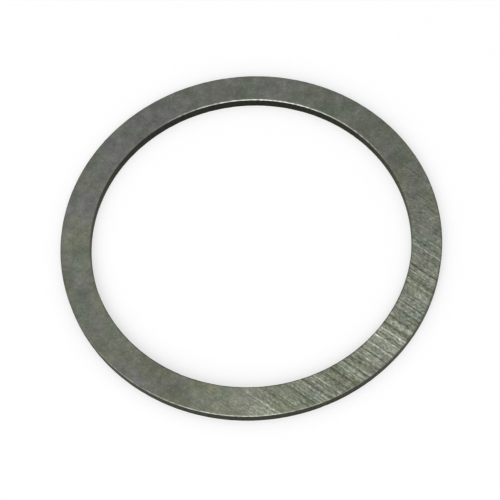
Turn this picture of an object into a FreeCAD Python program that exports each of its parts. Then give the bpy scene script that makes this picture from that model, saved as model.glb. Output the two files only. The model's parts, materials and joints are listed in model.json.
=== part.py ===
"""A thrust washer: one flat steel ring that keeps two turning faces apart.

It is blanked from hardened strip, ground flat on both faces, and then tumbled, which rounds its
four circular edges. It has no tab, groove or split, so a single revolved section is the whole part.

Frame: millimetres, +Z up along the bore. The origin is the centre of the bore on the lower
thrust face, so the washer lies flat on Z = 0.
"""

import FreeCAD, Part
import math
import os

# Driving dimensions
bore_diameter = 80.0
ring_width = 7.5
thickness = 3.0
bore_edge_radius = 0.3
rim_edge_radius = 0.3

# Share of the thinner wall that a rounded edge may take before two of them would meet
largest_edge_share = 0.45

# Worked out from the driving dimensions
outer_diameter = bore_diameter + 2 * ring_width
bore_radius = bore_diameter / 2
outer_radius = outer_diameter / 2
largest_edge = largest_edge_share * min(ring_width, thickness)
bore_edge = min(bore_edge_radius, largest_edge)
rim_edge = min(rim_edge_radius, largest_edge)


def point(radius, height):
    """A point of the section, in the half plane of +X and Z."""
    return FreeCAD.Vector(radius, 0, height)


def rounded_corner(corner_radius, corner_height, inward, upward, size):
    """The quarter arc that rounds one corner of the section.

    inward and upward are +1 or -1 and point from the corner towards the metal. The arc starts on
    the flat face and ends on the upright wall.
    """
    centre_radius = corner_radius + inward * size
    centre_height = corner_height + upward * size
    middle = size * math.sqrt(0.5)
    on_face = point(centre_radius, corner_height)
    halfway = point(centre_radius - inward * middle, centre_height - upward * middle)
    on_wall = point(corner_radius, centre_height)
    return Part.Arc(on_face, halfway, on_wall).toShape()


def straight(start_arc, start_vertex, end_arc, end_vertex):
    """The straight edge between a vertex of one corner arc and a vertex of another."""
    start = start_arc.Vertexes[start_vertex].Point
    end = end_arc.Vertexes[end_vertex].Point
    return Part.LineSegment(start, end).toShape()


def washer_section():
    """The closed section: two ground faces, the bore wall, the rim and four rounded corners."""
    face_end, wall_end = 0, 1
    lower_bore = rounded_corner(bore_radius, 0, 1, 1, bore_edge)
    lower_rim = rounded_corner(outer_radius, 0, -1, 1, rim_edge)
    upper_rim = rounded_corner(outer_radius, thickness, -1, -1, rim_edge)
    upper_bore = rounded_corner(bore_radius, thickness, 1, -1, bore_edge)
    lower_face = straight(lower_bore, face_end, lower_rim, face_end)
    rim = straight(lower_rim, wall_end, upper_rim, wall_end)
    upper_face = straight(upper_rim, face_end, upper_bore, face_end)
    bore_wall = straight(upper_bore, wall_end, lower_bore, wall_end)
    edges = [lower_face, lower_rim, rim, upper_rim, upper_face, upper_bore, bore_wall, lower_bore]
    return Part.Face(Part.Wire(Part.__sortEdges__(edges)))


def thrust_washer():
    """The ring: the section turned once round the bore's axis."""
    origin = FreeCAD.Vector(0, 0, 0)
    bore_axis = FreeCAD.Vector(0, 0, 1)
    full_turn = 360
    ring = washer_section().revolve(origin, bore_axis, full_turn)
    return Part.Solid(ring.Shells[0])


os.makedirs("parts", exist_ok=True)
washer = thrust_washer()
washer.exportStep("parts/thrust_washer.step")

section_area = washer_section().Area
print(f"thrust_washer: {len(washer.Faces)} faces, {washer.Volume:.1f} mm3, section {section_area:.3f} mm2")
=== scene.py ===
# %% [markdown]
# # A flat steel ring, from measured model to finished surface
#
# The object is a thrust washer: a plain steel ring that lies between two turning parts and takes
# the load between them. Its shape is one section turned once round an axis, so nearly all of its
# character is in the surface. The two faces are ground, and the edges were rounded in a tumbling
# barrel. The nearly black walls are painted shade, and the edges and one side of the face carry
# painted highlights.
#
# The first cell loads the measured model. Everything made later has to fit it, so its box is kept.

# %% Load the measured model
import json

import bpy
import numpy as np
from mathutils import Matrix, Vector


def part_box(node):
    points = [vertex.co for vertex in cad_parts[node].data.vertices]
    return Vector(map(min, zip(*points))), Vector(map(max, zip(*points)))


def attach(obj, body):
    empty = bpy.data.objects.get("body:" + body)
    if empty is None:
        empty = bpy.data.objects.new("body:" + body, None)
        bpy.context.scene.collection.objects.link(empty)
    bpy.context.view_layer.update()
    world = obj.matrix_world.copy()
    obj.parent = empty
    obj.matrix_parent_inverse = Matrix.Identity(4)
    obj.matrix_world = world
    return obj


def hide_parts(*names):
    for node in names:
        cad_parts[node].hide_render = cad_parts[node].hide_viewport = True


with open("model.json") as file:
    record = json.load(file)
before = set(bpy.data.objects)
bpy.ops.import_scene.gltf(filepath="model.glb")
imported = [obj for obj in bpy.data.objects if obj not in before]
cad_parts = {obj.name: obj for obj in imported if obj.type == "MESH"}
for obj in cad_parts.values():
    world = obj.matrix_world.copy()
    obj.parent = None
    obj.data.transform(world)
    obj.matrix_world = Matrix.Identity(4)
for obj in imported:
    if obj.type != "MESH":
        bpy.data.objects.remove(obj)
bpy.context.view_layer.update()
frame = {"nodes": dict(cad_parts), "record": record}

print("nodes:", sorted(frame["nodes"]))

# %% [markdown]
# ## The sizes that drive everything
#
# Blender counts in metres and a fitter in millimetres, so one constant turns one into the other.
# No size is typed in twice: the radii come from the mounts that the model's record declares. The
# record also gives the length of the straight wall of the bore. What is missing from that length
# to the full thickness is two rounded edges, which gives their radius.

# %% Read the sizes from the record
MM = 0.001
mounts = {mount["name"]: mount for mount in frame["record"]["mounts"]}
bore_radius = mounts["bore"]["dims"]["r_mm"] * MM
rim_radius = mounts["rim"]["dims"]["r_mm"] * MM
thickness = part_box("thrust_washer")[1].z
edge_radius = (thickness - mounts["bore"]["dims"]["length_mm"] * MM) / 2
print(f"bore {bore_radius / MM:.1f}, rim {rim_radius / MM:.1f}, thickness {thickness / MM:.2f} mm")
print(f"edge radius {edge_radius / MM:.2f} mm")

# %% [markdown]
# ## The section, walked round once
#
# A revolved ring could be made with the Screw modifier, or by bevelling a pipe. Here the surface is
# computed, because then every point knows where on the washer it is, and that is what the finish
# needs: a face is ground, a wall is not, and an edge is polished.
#
# A rectangle with rounded corners has a simple description. Take the smaller rectangle whose
# corners are the centres of the four roundings, walk round it, and step outwards by the edge
# radius, straight away from the metal. On a side the step never changes direction. At a corner the
# walker stands still and only turns, and that draws the quarter circle.

# %% Places along the section
ARC_STEPS = 8
FACE_STEPS = 10
WALL_STEPS = 6


def section_walk():
    """The walk round the section, as whole arrays: (across, up, turn).

    across and up say where on the small rectangle the walker stands, from 0 to 1. turn is the
    direction of the outward step in radians: a quarter turn at the upper face, and then falling.
    """
    corners = np.array([(1, 1), (1, 0), (0, 0), (0, 1)], float)
    across, up, turn = [], [], []
    for number, steps in enumerate((WALL_STEPS, FACE_STEPS, WALL_STEPS, FACE_STEPS)):
        here, ahead = corners[number], corners[(number + 1) % 4]
        first = np.pi / 2 * (1 - number)
        arc = np.linspace(0, 1, ARC_STEPS, endpoint=False)
        side = (1 - np.cos(np.pi * np.arange(steps) / steps)) / 2
        across.append(np.concatenate([0 * arc + here[0], here[0] + side * (ahead[0] - here[0])]))
        up.append(np.concatenate([0 * arc + here[1], here[1] + side * (ahead[1] - here[1])]))
        turn.append(np.concatenate([first - arc * np.pi / 2, 0 * side + first - np.pi / 2]))
    return np.concatenate(across), np.concatenate(up), np.concatenate(turn)


across, up, turn = section_walk()
print("places along the section:", len(across))

# %% [markdown]
# ## Edges that a barrel rounded
#
# A tumbled edge is not cut to a number. Stones roll over it for an hour, so its radius wanders by
# some hundredths of a millimetre from place to place. A sum of sines does that, with whole numbers
# of waves, because only those close up after a full turn.

# %% Uneven edge radius
TURN_STEPS = 1440
WANDER = 0.07
around = np.linspace(0, 2 * np.pi, TURN_STEPS, endpoint=False)[:, None]
chance = np.random.default_rng(95)


def closed_wave(fewest, most, count):
    """A smooth random wave along the ring: the sum of count sines, each with a whole number of
    waves per turn, divided by the root of half their count, so that its spread is 1."""
    waves = chance.integers(fewest, most, count)
    starts = chance.uniform(0, 2 * np.pi, count)
    lean = np.round(chance.uniform(-2, 2, count))
    angle = around[..., None] * waves + turn[:, None] * lean + starts
    return np.sin(angle).sum(axis=-1) / np.sqrt(count / 2)


rounding = edge_radius * (1 + WANDER * np.clip(closed_wave(5, 160, 30), -2, 2))
print(f"edge radius from {rounding.min() / MM:.3f} to {rounding.max() / MM:.3f} mm")

# %% [markdown]
# ## The ring as a grid of points
#
# Now the section is carried round the axis. Every point is a centre plus a step, and what is left
# is to turn the section by the angle round the axis. Where two washers met in the barrel, one left
# a nick in the other's edge: a bell-shaped dent, which makes the step a little shorter there. A
# nick has a size in millimetres and a depth that is a share of it, and it lies near the middle of
# a rounding, where the sine of twice the turn is large.

# %% Points of the whole surface
NICKS = 60
NICK_SIZES = (0.10, 0.32)
NICK_DEPTHS = (0.10, 0.22)
NEAR_THE_MIDDLE = 0.6


def ring_points(step):
    """Points (turns, places, 3). Radius is the centre's radius plus the step times the cosine of
    its direction, and height is the centre's height plus the step times the sine."""
    centre_radius = bore_radius + rounding + across * (rim_radius - bore_radius - 2 * rounding)
    centre_height = rounding + up * (thickness - 2 * rounding)
    radius = centre_radius + step * np.cos(turn)
    height = centre_height + step * np.sin(turn)
    return np.stack([radius * np.cos(around), radius * np.sin(around), height], axis=-1)


def bell(points, middle, size):
    """e to minus half the squared distance from the middle, counted in sizes: 1 there, 0 far off."""
    return np.exp(-(((points - middle) / size) ** 2).sum(axis=-1) / 2)


smooth_points = ring_points(rounding)
on_edge = np.flatnonzero(np.abs(np.sin(2 * turn)) > NEAR_THE_MIDDLE)
dent = np.zeros(smooth_points.shape[:2])
for size in chance.uniform(*NICK_SIZES, NICKS) * MM:
    middle = smooth_points[chance.integers(TURN_STEPS), chance.choice(on_edge)]
    dent += chance.uniform(*NICK_DEPTHS) * size * bell(smooth_points, middle, size)
points = ring_points(rounding - dent)
print(f"grid of {points.shape[0]} by {points.shape[1]} points, deepest nick {dent.max() / MM:.3f} mm")

# %% [markdown]
# The grid closes both ways, like a tyre, so the last row is joined to the first. The order of the
# four corners of a face decides which side is out. The enclosed volume proves it: it comes out
# positive, and close to the volume of the measured solid, only if every face points outwards.

# %% From grid to mesh


def closed_grid_mesh(name, points):
    """A mesh from a grid that closes both ways, with its faces pointing out of the metal."""
    turns, places = points.shape[:2]
    number = np.arange(turns * places).reshape(turns, places)
    ahead, beside = np.roll(number, -1, axis=0), np.roll(number, -1, axis=1)
    across_corner = np.roll(ahead, -1, axis=1)
    quads = np.stack([number, beside, across_corner, ahead], axis=-1).reshape(-1, 4)
    mesh = bpy.data.meshes.new(name)
    mesh.vertices.add(turns * places)
    mesh.vertices.foreach_set("co", points.astype(np.float32).ravel())
    mesh.loops.add(quads.size)
    mesh.loops.foreach_set("vertex_index", quads.astype(np.int32).ravel())
    mesh.polygons.add(len(quads))
    mesh.polygons.foreach_set("loop_start", np.arange(0, quads.size, 4, dtype=np.int32))
    mesh.update(calc_edges=True)
    mesh.shade_smooth()
    return mesh


def enclosed_volume(points):
    """The volume inside the closed grid: a sixth of each triangle's triple product, summed."""
    a, b = points, np.roll(points, -1, axis=1)
    c, d = np.roll(b, -1, axis=0), np.roll(a, -1, axis=0)
    first = np.einsum("ijk,ijk->", a, np.cross(b, c))
    second = np.einsum("ijk,ijk->", a, np.cross(c, d))
    return (first + second) / 6


mesh = closed_grid_mesh("ground_ring", points)
ring = bpy.data.objects.new("ground_ring", mesh)
bpy.context.scene.collection.objects.link(ring)
print(f"{2 * len(mesh.polygons)} triangles, volume {enclosed_volume(points) / MM ** 3:.1f} mm3")

# %% [markdown]
# ## What each point knows about itself
#
# Some numbers are stored on the points for the material to read. The first two come from the
# direction of the outward step, which is level on a wall, upright on a face, and in between on an
# edge. The third says how near the bore a place is.

# %% Store wall, edge and bore side on the points


def smooth_between(value, low, high):
    """0 below low, 1 above high, and an even S-curve between them."""
    share = np.clip((value - low) / (high - low), 0, 1)
    return share * share * (3 - 2 * share)


def store(name, values):
    """Keep one number per point of the ring under a name that its material can ask for."""
    attribute = mesh.attributes.new(name, "FLOAT", "POINT")
    whole = np.broadcast_to(values, points.shape[:2])
    attribute.data.foreach_set("value", whole.astype(np.float32).ravel())


sideways = np.abs(np.cos(turn))
wall_share = smooth_between(sideways, 0.80, 0.99)
edge_share = smooth_between(sideways, 0.02, 0.28) * (1 - wall_share)
store("wall", wall_share)
store("edge", edge_share)
store("bore_side", 1 - across)
print("share of places on a wall:", round(float((wall_share > 0.5).mean()), 2))

# %% [markdown]
# The edges are not equally bright all the way round. A painted highlight lies along one stretch of
# the bore's edge and along two of the rim's, and where a stretch counts as negative it is painted
# shade instead. Each is given by its middle and half its width in degrees, and by its painted
# light. Everywhere else the edges are painted slightly darker than the face, as painted shade.

# %% Painted highlight and shade along the edges
BORE_LIGHT_SHADE = ((72, 56, 0.77), (275, 95, -0.50))
RIM_LIGHT_SHADE = ((246, 52, 0.40), (298, 24, 0.20), (352, 30, -0.30), (105, 65, -0.15))
FULL_SHARE = 0.45
UNEVENNESS = 0.25
EDGE_SHADE_ELSEWHERE = -0.08


def highlight_shade_along(stretches):
    """The sum over all stretches of the painted light, highlight positive and shade negative, times a
    bell over the angle. The bell is 1 over the full share of the stretch, and from there it falls to
    0 at both ends."""
    total = 0
    for middle, half_width, edge_light_shade in stretches:
        off = np.abs(np.degrees(np.angle(np.exp(1j * (around - np.radians(middle))))))
        total = total + edge_light_shade * (1 - smooth_between(off, FULL_SHARE * half_width, half_width))
    return total


uneven = 1 + UNEVENNESS * closed_wave(10, 220, 30)
stretch_light_shade = highlight_shade_along(BORE_LIGHT_SHADE) * (1 - across) + highlight_shade_along(RIM_LIGHT_SHADE) * across
# The stored number is painted light on the edges: a painted highlight where positive, painted shade
# where negative.
store("edge_light_shade", stretch_light_shade * uneven + EDGE_SHADE_ELSEWHERE)
print(f"shine of the stretches from {stretch_light_shade.min():.2f} to {stretch_light_shade.max():.2f}")

# %% [markdown]
# The face also has patches that no noise would put in the right place: some lighter, some darker,
# some with more of the olive and green of dried oil. Each is a bell on the middle of the face,
# given by its angle, its size in millimetres, how much lighter or darker it makes the face, and how
# much more of the olive and green it has.

# %% Patches on the face
FACE_PATCHES = (
    (17, 6, -0.12, 0.03),
    (38, 10, -0.03, 0.10),
    (72, 9, 0.05, 0.07),
    (106, 4, -0.02, 0.08),
    (121, 4, -0.04, -0.07),
    (168, 10, 0.15, 0.0),
    (205, 8, 0.0, 0.06),
    (234, 7, -0.20, -0.14),
    (241, 2, -0.14, 0.12),
    (262, 5, 0.04, -0.05),
    (290, 7, -0.08, -0.03),
    (313, 6, 0.03, -0.10),
)
face_middle = (bore_radius + rim_radius) / 2
lightness_shift = np.zeros(points.shape[:2])
oil = np.zeros(points.shape[:2])
for degrees, size, lighter, oilier in FACE_PATCHES:
    angle = np.radians(degrees)
    middle = np.array([np.cos(angle) * face_middle, np.sin(angle) * face_middle, thickness])
    spot = bell(points, middle, size * MM)
    lightness_shift += lighter * spot
    oil += oilier * spot
store("patch_lightness", lightness_shift)
store("oiled", oil)
print("stains:", len(FACE_PATCHES))

# %% [markdown]
# ## Colours and nodes
#
# A colour picker shows sRGB, and a renderer adds up light, so a written colour is turned to linear
# once, by one function. A second helper adds a node, sets it and links it, which keeps a material
# readable: each line is then one decision about the surface.
#
# Where a node has several inputs of one name, they go by number. A Math node has 0, 1 and 2. A Map
# Range node reads 0, expects it between 1 and 2, and gives a value between 3 and 4. A Mix node of
# colours takes a share at 0 and the two colours at 6 and 7, and gives its colour at output 2.

# %% Helpers for colour and nodes


def colour(written):
    """The linear red, green, blue and alpha of a colour written as sRGB hex digits."""
    channels = np.array([int(written[i:i + 2], 16) for i in (1, 3, 5)]) / 255
    linear = np.where(channels <= 0.04045, channels / 12.92, ((channels + 0.055) / 1.055) ** 2.4)
    return (*linear.tolist(), 1.0)


steel = bpy.data.materials.new("surface-ground bearing steel")
steel.use_nodes = True
steel.node_tree.nodes.clear()


def add(kind, inputs, output=0, tree=steel.node_tree, **settings):
    """Add a node, apply its settings, fill its inputs with values or with other nodes' outputs,
    and return the output that the next node will want."""
    made = tree.nodes.new("ShaderNode" + kind)
    for name, value in settings.items():
        setattr(made, name, value)
    for name, value in inputs.items():
        if isinstance(value, bpy.types.NodeSocket):
            tree.links.new(value, made.inputs[name])
        else:
            made.inputs[name].default_value = value
    return made.outputs[output] if len(made.outputs) else made


print("linear value of mid grey:", round(colour("#808080")[0], 3))

# %% [markdown]
# ## Surface-ground bearing steel
#
# The washer is hardened bearing steel. A grinding wheel passed over its faces in nearly straight
# lines, which left thousands of fine parallel grooves and a few coarse ones, where a loose grain
# was dragged along. A thin film of oil and storage stain lies over it. The eye gets a dull grey
# with a hint of olive, softly mottled, and on one side a painted sheen, in which the grinding
# streaks are painted as glints.
#
# The grooves need their own coordinates: one number along the wheel's path and one across it, both
# in millimetres. A Mapping node of the type Texture lays them down like a stencil, whose rotation
# turns it and whose scale is the real size of one unit. The lines fan out a little, because the
# wheel's path was a very large arc, so the distance across is stretched slightly along the way.
# The lines would meet about FAN millimetres off. They have their true spacing at TRUE_AT along the
# path, and the one that lies at STRAIGHT_LINE across it isn't bent at all.

# %% Coordinates along and across the grinding
GRIND = np.radians(-43.25)
FAN = 1200.0
TRUE_AT = 42.0
STRAIGHT_LINE = -10.0
place = add("TexCoord", {}, "Object")
laid = add("Mapping", {
    "Vector": place,
    "Rotation": (0, 0, GRIND),
    "Scale": (MM, MM, MM),
}, vector_type="TEXTURE")
split = add("SeparateXYZ", {"Vector": laid}).node.outputs
widening = add("Math", {
    0: split["X"],
    1: 1 / FAN,
    2: 1 - TRUE_AT / FAN,
}, operation="MULTIPLY_ADD")
offset = add("Math", {0: split["Y"], 1: -STRAIGHT_LINE}, operation="ADD")
offset = add("Math", {0: offset, 1: widening, 2: STRAIGHT_LINE}, operation="MULTIPLY_ADD")
grinding = add("CombineXYZ", {"X": split["X"], "Y": offset})
print("grinding direction", round(float(np.degrees(GRIND)), 1), "degrees from the x axis")

# %% [markdown]
# Every pattern below is a Noise node whose Mapping node divides by the length and the width of one
# feature, in millimetres. Three lie along the grinding, and two lie on the washer anyhow. The last
# two numbers are the noise's detail and roughness. Each pattern is read from its own part of the
# noise, so many features away from the others. The fine grooves are really a few hundredths of a
# millimetre wide, which no picture of the whole ring can show, so they are drawn as coarse as they
# need to show, at a third of a millimetre.

# %% Patterns of the ground face
PATTERNS = {
    "hairlines": (grinding, 90, 0.32, 2.0, 0.6),
    "breaks": (grinding, 7.0, 0.60, 1.0, 0.5),
    "grain": (grinding, 1.0, 0.45, 2.0, 0.7),
    "mottle": (place, 3.7 * MM, 3.7 * MM, 4.0, 0.84),
    "flecks": (place, 0.55 * MM, 0.55 * MM, 0.0, 0.5),
}
APART = (37.0, 19.0)
pattern = {}
for name, (where, length, width, detail, roughness) in PATTERNS.items():
    shift = (APART[0] * len(pattern) * length, APART[1] * len(pattern) * width, 0)
    stencil = add("Mapping", {
        "Vector": where,
        "Location": shift,
        "Scale": (length, width, width),
    }, vector_type="TEXTURE")
    pattern[name] = add("TexNoise", {
        "Vector": stencil,
        "Scale": 1,
        "Detail": detail,
        "Roughness": roughness,
    }, noise_dimensions="2D")
print("patterns:", ", ".join(pattern))

# %% [markdown]
# The coarse grooves are few, and an eye that knows this washer finds them at once, so they are set
# one by one: how far each lies from the bore's axis and how wide it is halfway up, in millimetres,
# and how much painted light it carries, a painted glint where positive and painted shade of a
# groove's flank where negative. A wide shallow entry is a whole pass of the wheel. A vector holds
# three numbers, so each round of the loop lays three grooves at once.

# %% Coarse grooves, one by one
GROOVES = np.array([
    (-32.8, 0.5, 0.44), (-26.2, 0.45, -0.70), (-23.4, 0.36, 0.45),
    (-22.8, 0.36, -0.85), (-20.6, 0.36, 0.43), (-18.6, 0.5, -0.31),
    (-17.6, 4.0, -0.13), (-18.0, 0.29, 0.28), (-16.5, 1.1, -0.29),
    (-14.9, 0.36, 0.50), (-14.1, 0.58, 0.28), (-13.2, 0.25, -0.60),
    (-12.8, 0.36, 0.61), (-11.8, 1.1, -0.25), (-10.4, 0.5, -0.28),
    (-9.5, 0.58, 0.31), (-8.5, 0.36, 0.39), (-8.0, 0.22, -0.35),
    (-5.7, 0.22, 0.43), (-3.3, 0.22, 0.47), (-2.6, 0.5, -0.45),
    (-1.0, 0.36, 0.74), (-3.2, 8.0, 0.22), (0.5, 0.58, -0.35),
    (1.5, 1.1, 0.31), (2.7, 0.5, -0.38), (5.1, 0.58, -0.44),
    (5.9, 0.5, 0.36), (7.1, 0.36, 0.34), (7.7, 0.25, -0.55),
    (11.4, 0.5, 0.43), (13.1, 0.5, 0.33), (14.4, 1.3, -0.17),
    (16.4, 0.22, 0.43), (17.1, 0.36, -0.60), (22.0, 0.36, 0.56),
])
three = add("CombineXYZ", {"X": offset, "Y": offset, "Z": offset})
coarse = 0.0
for middle, width, lighter in GROOVES.reshape(-1, 3, 3).transpose(0, 2, 1):
    near = add("VectorMath", {0: three, 1: middle}, operation="SUBTRACT")
    near = add("VectorMath", {0: near}, operation="ABSOLUTE")
    near = add("VectorMath", {0: near, 1: -1 / width, 2: (1, 1, 1)}, operation="MULTIPLY_ADD")
    near = add("VectorMath", {0: near, 1: (0, 0, 0)}, operation="MAXIMUM")
    near = add("VectorMath", {0: near, 1: lighter}, "Value", operation="DOT_PRODUCT")
    coarse = add("Math", {0: near, 1: coarse}, operation="ADD")
print("coarse grooves and passes:", len(GROOVES))

# %% [markdown]
# A groove is not evenly deep, so the coarse and the fine lines together are multiplied by a pattern
# of short breaks. Between them lies the grain of the wheel: torn specks half a millimetre wide and
# twice as long, which give the metal as much contrast as all the lines do.

# %% Painted glints and shade of the grinding
# The lines and the grain are painted into the colour as painted glints and painted shade, and the
# same numbers also give the relief and the roughness.
hairs = add("MapRange", {0: pattern["hairlines"], 1: 0.25, 2: 0.75, 3: -0.40, 4: 0.40})
lines = add("Math", {0: hairs, 1: coarse}, operation="ADD")
breaks = add("MapRange", {0: pattern["breaks"], 1: 0.3, 2: 0.7, 3: 0.7, 4: 1.3})
lines = add("Math", {0: lines, 1: breaks}, operation="MULTIPLY")
grain = add("MapRange", {0: pattern["grain"], 1: 0.25, 2: 0.75, 3: -0.55, 4: 0.55})
grooves_and_glints = add("Math", {0: lines, 1: grain}, operation="ADD")

# %% [markdown]
# The sheen is painted light: on the side towards plus x and minus y the face is painted lighter,
# and the grinding shows there strongly, as painted glints. A soft cloud breaks up its border.
# Elsewhere a little of the grinding still shows.

# %% Where the painted sheen lies
TOWARDS_SHEEN = (0.72 / rim_radius, -0.70 / rim_radius, 0)
CLOUD_SIZE = 9 * MM
SHEEN_FROM, SHEEN_TO = 0.42, 1.25
SHOWN_OUTSIDE_SHEEN, SHOWN_IN_SHEEN = 0.06, 0.93
towards = add("VectorMath", {0: place, 1: TOWARDS_SHEEN}, "Value", operation="DOT_PRODUCT")
cloud = add("Mapping", {
    "Vector": place,
    "Location": (20 * MM, 0, 0),
    "Scale": (CLOUD_SIZE, CLOUD_SIZE, CLOUD_SIZE),
}, vector_type="TEXTURE")
cloud = add("TexNoise", {"Vector": cloud, "Scale": 1, "Detail": 2}, noise_dimensions="2D")
towards = add("Math", {0: cloud, 1: 0.5, 2: towards}, operation="MULTIPLY_ADD")
sheen_side = add("MapRange", {
    0: towards,
    1: SHEEN_FROM,
    2: SHEEN_TO,
}, interpolation_type="SMOOTHSTEP")
shown = add("Math", {
    0: sheen_side,
    1: SHOWN_IN_SHEEN - SHOWN_OUTSIDE_SHEEN,
    2: SHOWN_OUTSIDE_SHEEN,
}, operation="MULTIPLY_ADD")
grooves_and_glints = add("Math", {0: grooves_and_glints, 1: shown}, operation="MULTIPLY")

# %% [markdown]
# The film has three tints that run into each other: neutral, olive, and green where oil has dried.
# Two slow noises mix them, the stored oil of the patches shifts both, and there is more olive
# towards the front. In the painted sheen the same three are lighter and a little deeper.

# %% Tints of the film and of the worn metal
TINTS = {
    "film": ("#727270", "#707262", "#6a7165"),
    "metal": ("#7b7b6f", "#777b65", "#6d7a69"),
}
FRONTWARDS = (0, -0.18 / rim_radius, 0)
frontwards = add("VectorMath", {0: place, 1: FRONTWARDS}, "Value", operation="DOT_PRODUCT")
slow = add("Mapping", {
    "Vector": place,
    "Scale": (CLOUD_SIZE, CLOUD_SIZE, CLOUD_SIZE),
}, vector_type="TEXTURE")
olive = add("TexNoise", {
    "Vector": slow,
    "Scale": 1,
    "Detail": 4,
    "Roughness": 0.58,
}, noise_dimensions="2D")
oiled = add("Attribute", {}, "Fac", attribute_name="oiled")
olive = add("Math", {0: olive, 1: frontwards}, operation="ADD")
olive = add("Math", {0: olive, 1: oiled}, operation="ADD")
olive = add("MapRange", {0: olive, 1: 0.27, 2: 0.73}, interpolation_type="SMOOTHSTEP")
shifted = add("Mapping", {"Vector": slow, "Location": (13, 5, 0)}, vector_type="POINT")
green = add("TexNoise", {
    "Vector": shifted,
    "Scale": 1.3,
    "Detail": 4,
    "Roughness": 0.60,
}, noise_dimensions="2D")
green = add("Math", {0: green, 1: oiled}, operation="ADD")
green = add("MapRange", {0: green, 1: 0.46, 2: 0.72}, interpolation_type="SMOOTHSTEP")
tinted = {}
for name, (neutral, oily, dried) in TINTS.items():
    mixed = add("Mix", {0: olive, 6: colour(neutral), 7: colour(oily)}, 2, data_type="RGBA")
    tinted[name] = add("Mix", {0: green, 6: mixed, 7: colour(dried)}, 2, data_type="RGBA")
# The second tint is painted light: the face is painted lighter where the painted sheen lies.
tint = add("Mix", {0: sheen_side, 6: tinted["film"], 7: tinted["metal"]}, 2, data_type="RGBA")
print("tints:", TINTS)

# %% [markdown]
# Inside the painted sheen, where the grinding is painted lighter, it is also mixed towards a
# neutral grey, as a painted glint. The lightness itself is a power of e, so that it never turns to
# black, and is multiplied on top. A mottle, a few bright and dark flecks, and the lighter and darker
# patches, which were stored on the points, go into that as well.

# %% Colour of the ground face
GLINT_GREY = "#777a79"
glint_share = add("Math", {0: grooves_and_glints, 1: 0.6, 2: 0.27}, operation="MULTIPLY_ADD", use_clamp=True)
glint_share = add("Math", {0: glint_share, 1: sheen_side}, operation="MULTIPLY")
tint = add("Mix", {0: glint_share, 6: tint, 7: colour(GLINT_GREY)}, 2, data_type="RGBA")
mottle = add("MapRange", {0: pattern["mottle"], 1: 0.25, 2: 0.75, 3: -0.27, 4: 0.33})
bright = add("MapRange", {0: pattern["flecks"], 1: 0.74, 2: 0.84, 3: 0, 4: 0.26})
dark = add("MapRange", {0: pattern["flecks"], 1: 0.26, 2: 0.16, 3: 0, 4: -0.18})
flecks = add("Math", {0: bright, 1: dark}, operation="ADD")
patch_lightness = add("Attribute", {}, "Fac", attribute_name="patch_lightness")
light = add("Math", {0: mottle, 1: flecks}, operation="ADD")
light = add("Math", {0: light, 1: patch_lightness}, operation="ADD")
light = add("Math", {0: light, 1: grooves_and_glints}, operation="ADD")
light = add("Math", {0: np.e, 1: light}, operation="POWER")
face = add("Mix", {0: 1.0, 6: tint, 7: light}, 2, data_type="RGBA", blend_type="MULTIPLY")
print("nodes so far:", len(steel.node_tree.nodes))

# %% [markdown]
# ## Walls and edges
#
# The walls were never ground, and the punch left fine marks on them that run straight through from
# face to face. They are painted nearly black as painted shade, the bore's darker than the rim's. On
# the edges the stored numbers paint a highlight along some stretches and shade along others.

# %% Colour of walls and edges
RIM_WALL_SHADE, BORE_WALL_SHADE = "#2d2d2a", "#252523"
PAINTED_EDGE_HIGHLIGHT, PAINTED_EDGE_SHADE = "#c4c5bf", "#30302e"
wall = add("Attribute", {}, "Fac", attribute_name="wall")
edge = add("Attribute", {}, "Fac", attribute_name="edge")
edge_light_shade = add("Attribute", {}, "Fac", attribute_name="edge_light_shade")
bore_side = add("Attribute", {}, "Fac", attribute_name="bore_side")
punched = add("Mapping", {
    "Vector": place,
    "Scale": (0.5 * MM, 0.5 * MM, 5 * MM),
}, vector_type="TEXTURE")
punched = add("TexNoise", {"Vector": punched, "Scale": 1, "Detail": 2, "Roughness": 0.6})
marks = add("MapRange", {0: punched, 1: 0.3, 2: 0.7, 3: 0.65, 4: 1.35})
# The walls' colour is painted shade: nearly black, and darker still in the bore.
wall_shade = add("Mix", {
    0: bore_side,
    6: colour(RIM_WALL_SHADE),
    7: colour(BORE_WALL_SHADE),
}, 2, data_type="RGBA")
wall_shade = add("Mix", {0: 1.0, 6: wall_shade, 7: marks}, 2, data_type="RGBA", blend_type="MULTIPLY")
surface = add("Mix", {0: wall, 6: face, 7: wall_shade}, 2, data_type="RGBA")
# On the edges the stored painted light mixes in a painted highlight where it is positive and painted
# shade where it is negative.
edge_painted_light = add("Math", {0: edge, 1: edge_light_shade}, operation="MULTIPLY")
edge_highlight = add("Math", {0: edge_painted_light, 1: 1.0}, operation="MULTIPLY", use_clamp=True)
edge_shade = add("Math", {0: edge_painted_light, 1: -1.0}, operation="MULTIPLY", use_clamp=True)
surface = add("Mix", {0: edge_highlight, 6: surface, 7: colour(PAINTED_EDGE_HIGHLIGHT)}, 2, data_type="RGBA")
surface = add("Mix", {0: edge_shade, 6: surface, 7: colour(PAINTED_EDGE_SHADE)}, 2, data_type="RGBA")

# %% [markdown]
# ## One shader for all of it
#
# It is all metal, so it is metallic throughout and keeps the default index of refraction. Ground
# steel scatters light in a medium lobe, the lighter grooves a little less, the walls more, and the
# edges under the painted highlight least of all. Any metal turns into a white mirror when it is
# seen along its surface, and the walls do so less than the faces, which keeps their painted shade
# dark. The specular tint says how much of that mirror is left. The grooves are also pressed in as
# relief, a hundredth of a millimetre deep.

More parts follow.
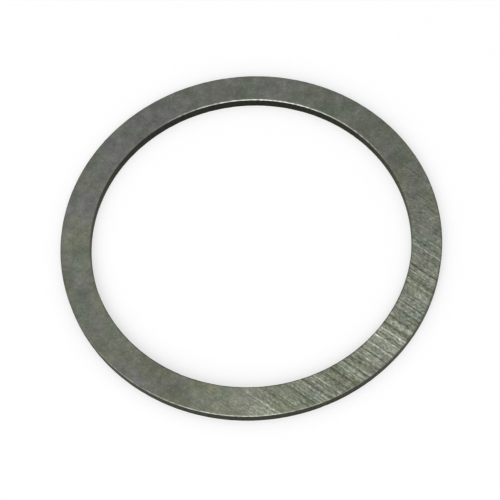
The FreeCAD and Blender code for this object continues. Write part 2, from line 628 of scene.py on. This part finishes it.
# %% Roughness, relief and shader
MIRROR_LEFT = (0.84, 0.84, 0.74, 1)
RELIEF = 0.01 * MM
rough = add("MapRange", {0: grooves_and_glints, 1: -0.6, 2: 0.8, 3: 0.43, 4: 0.33})
rough = add("Math", {0: wall, 1: 0.12, 2: rough}, operation="MULTIPLY_ADD")
rough = add("Math", {0: edge_highlight, 1: -0.08, 2: rough}, operation="MULTIPLY_ADD")
marks = add("Math", {0: wall, 1: marks}, operation="MULTIPLY")
height = add("Math", {0: grooves_and_glints, 1: marks}, operation="ADD")
relief = add("Bump", {"Strength": 1.0, "Distance": RELIEF, "Height": height})
grazing = add("Mix", {0: wall, 6: (1, 1, 1, 1), 7: MIRROR_LEFT}, 2, data_type="RGBA")
shader = add("BsdfPrincipled", {
    "Base Color": surface,
    "Metallic": 1.0,
    "Roughness": rough,
    "Specular Tint": grazing,
    "Normal": relief,
})
add("OutputMaterial", {"Surface": shader})
mesh.materials.append(steel)
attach(ring, "root")
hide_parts("thrust_washer")
print("nodes in the steel:", len(steel.node_tree.nodes))

# %% [markdown]
# ## A sheet of white paper
#
# The washer lies on a plain white sheet that sweeps up into a low wall all round, as product
# photographers hang it, so that no edge of a table shows from any side. It is a profile turned
# round the axis, like the ring: flat, then a quarter circle, then upright. One face closes its
# middle. It lies two hundredths of a millimetre lower than the washer's face, because a renderer
# can't tell two surfaces in the same place apart. The paper is matt, so it shows no lamp, only the
# washer's soft shadow.

# %% Floor and sweep
FLAT, SWEEP, TOP = 3.0, 1.0, 2.5
MIDDLE_FACE, FIRST_BAND = 0.02, 0.2
BEND_PLACES, SHEET_TURNS = 17, 64
GAP = 0.02 * MM
bend = np.linspace(0, np.pi / 2, BEND_PLACES)
radii = np.concatenate([[MIDDLE_FACE, FIRST_BAND], FLAT + SWEEP * np.sin(bend), [FLAT + SWEEP]])
rises = np.concatenate([[0, 0], SWEEP * (1 - np.cos(bend)), [TOP]])
turns = np.linspace(0, 2 * np.pi, SHEET_TURNS, endpoint=False)[:, None]
heights = rises + 0 * turns - GAP
sheet_points = np.stack([radii * np.cos(turns), radii * np.sin(turns), heights], axis=-1)
number = np.arange(sheet_points.size // 3).reshape(sheet_points.shape[:2])
ahead = np.roll(number, -1, axis=0)
quads = np.stack([number[:, :-1], number[:, 1:], ahead[:, 1:], ahead[:, :-1]], axis=-1)
faces = quads.reshape(-1, 4).tolist() + [number[:, 0].tolist()]
floor_mesh = bpy.data.meshes.new("floor")
floor_mesh.from_pydata(sheet_points.reshape(-1, 3).tolist(), [], faces)
floor_mesh.shade_smooth()
floor = bpy.data.objects.new("floor", floor_mesh)
bpy.context.scene.collection.objects.link(floor)
print("paper radius in m:", FLAT + SWEEP, "faces:", len(floor_mesh.polygons))

# %% [markdown]
# A paper is never brighter than the light on it, so for the camera, and for what the metal mirrors,
# a little light of its own lifts it to a clean white. The upright part gets less light from above,
# so it has a little more of its own. A pale grey under it keeps the shadow.

# %% Matt white paper
PAPER = "#c0c0c0"
FLAT_GLOW, UPRIGHT_GLOW = 0.54, 0.68
paper = bpy.data.materials.new("matt white paper")
paper.use_nodes = True
paper.node_tree.nodes.clear()
path = add("LightPath", {}, tree=paper.node_tree).node.outputs
seen = path["Is Camera Ray"]
for kind in ("Is Glossy Ray", "Is Transmission Ray"):
    seen = add("Math", {0: seen, 1: path[kind]}, tree=paper.node_tree, operation="MAXIMUM")
facing = add("NewGeometry", {}, "Normal", tree=paper.node_tree)
facing = add("SeparateXYZ", {"Vector": facing}, "Z", tree=paper.node_tree)
lift = add("Math", {
    0: facing,
    1: FLAT_GLOW - UPRIGHT_GLOW,
    2: UPRIGHT_GLOW,
}, tree=paper.node_tree, operation="MULTIPLY_ADD")
glow = add("Math", {0: seen, 1: lift}, tree=paper.node_tree, operation="MULTIPLY")
sheet = add("BsdfPrincipled", {
    "Base Color": colour(PAPER),
    "Roughness": 0.9,
    "Specular IOR Level": 0.0,
    "Emission Color": (1, 1, 1, 1),
    "Emission Strength": glow,
}, tree=paper.node_tree)
add("OutputMaterial", {"Surface": sheet}, tree=paper.node_tree)
floor_mesh.materials.append(paper)
print("the paper shows", round(colour(PAPER)[0] + FLAT_GLOW, 2), "of white under a light of 1")

# %% [markdown]
# ## Light
#
# A studio for small metal parts is a white tent with one or two softboxes. The world is the tent: an
# even pale light from everywhere. One large softbox stands at the front, a little to the left, and
# draws the line on the edges. A small one hangs overhead, and brings up the near part of the face,
# from where the eye sees its reflection most nearly.

# %% World and lamps
TENT = 0.67
world = bpy.data.worlds.new("tent")
bpy.context.scene.world = world
world.use_nodes = True
world.node_tree.nodes["Background"].inputs["Color"].default_value = (1, 1, 1, 1)
world.node_tree.nodes["Background"].inputs["Strength"].default_value = TENT


def softbox(name, position, aim, side, radiance):
    """A square lamp at position, facing the point aim. Its power is what gives that radiance: the
    radiance times pi times its area."""
    lamp = bpy.data.lights.new(name, "AREA")
    lamp.shape = "SQUARE"
    lamp.size = side
    lamp.energy = radiance * np.pi * side ** 2
    made = bpy.data.objects.new(name, lamp)
    made.location = position
    made.rotation_euler = (Vector(aim) - Vector(position)).to_track_quat("-Z", "Y").to_euler()
    bpy.context.scene.collection.objects.link(made)
    print(f"{name}: {side:.2f} m wide, {lamp.energy:.2f} W")


softbox("overhead", (0.02, 0.12, 0.70), (0, 0, 0), 0.25, 2.0)
softbox("front_left", (-0.65, -1.80, 1.60), (0, 0, 0), 1.9, 2.5)

# %% [markdown]
# ## Camera
#
# The outlines of the bore and of the rim are two ellipses in the photograph. A camera was fitted to
# both at once: it looks down at the face from 63 degrees above the table, is rolled by less than
# seven degrees, and stands nearly eight rim radii away.

# %% Camera from the fit
LENS, SENSOR, IMAGE = 108.0, 36.0, 500
ELEVATION, ROLL = np.radians(63.13), np.radians(-6.60)
RIGHT_OF_CENTRE, BELOW_CENTRE = 0.13, -13.50
RIM_RADII_AWAY = 7.852
NEAREST, FARTHEST = 0.01, 30
focal = LENS / SENSOR * IMAGE
distance = RIM_RADII_AWAY * rim_radius
level = np.array([1, 0, 0])
falling = np.array([0, -np.sin(ELEVATION), -np.cos(ELEVATION)])
forward = np.array([0, np.cos(ELEVATION), -np.sin(ELEVATION)])
rightwards = np.cos(ROLL) * level - np.sin(ROLL) * falling
downwards = np.sin(ROLL) * level + np.cos(ROLL) * falling
aside = (RIGHT_OF_CENTRE * rightwards + BELOW_CENTRE * downwards) * distance / focal
eye = np.array([0, 0, thickness]) - aside - distance * forward

lens = bpy.data.cameras.new("camera")
lens.lens, lens.sensor_width = LENS, SENSOR
lens.clip_start, lens.clip_end = NEAREST, FARTHEST
camera = bpy.data.objects.new("camera", lens)
axes = Matrix(np.stack([rightwards, -downwards, -forward], axis=1).tolist())
camera.matrix_world = Matrix.Translation(eye) @ axes.to_4x4()
bpy.context.scene.collection.objects.link(camera)
bpy.context.scene.camera = camera
bpy.context.scene.view_settings.view_transform = "Standard"
print("camera at", [round(float(x), 4) for x in eye])
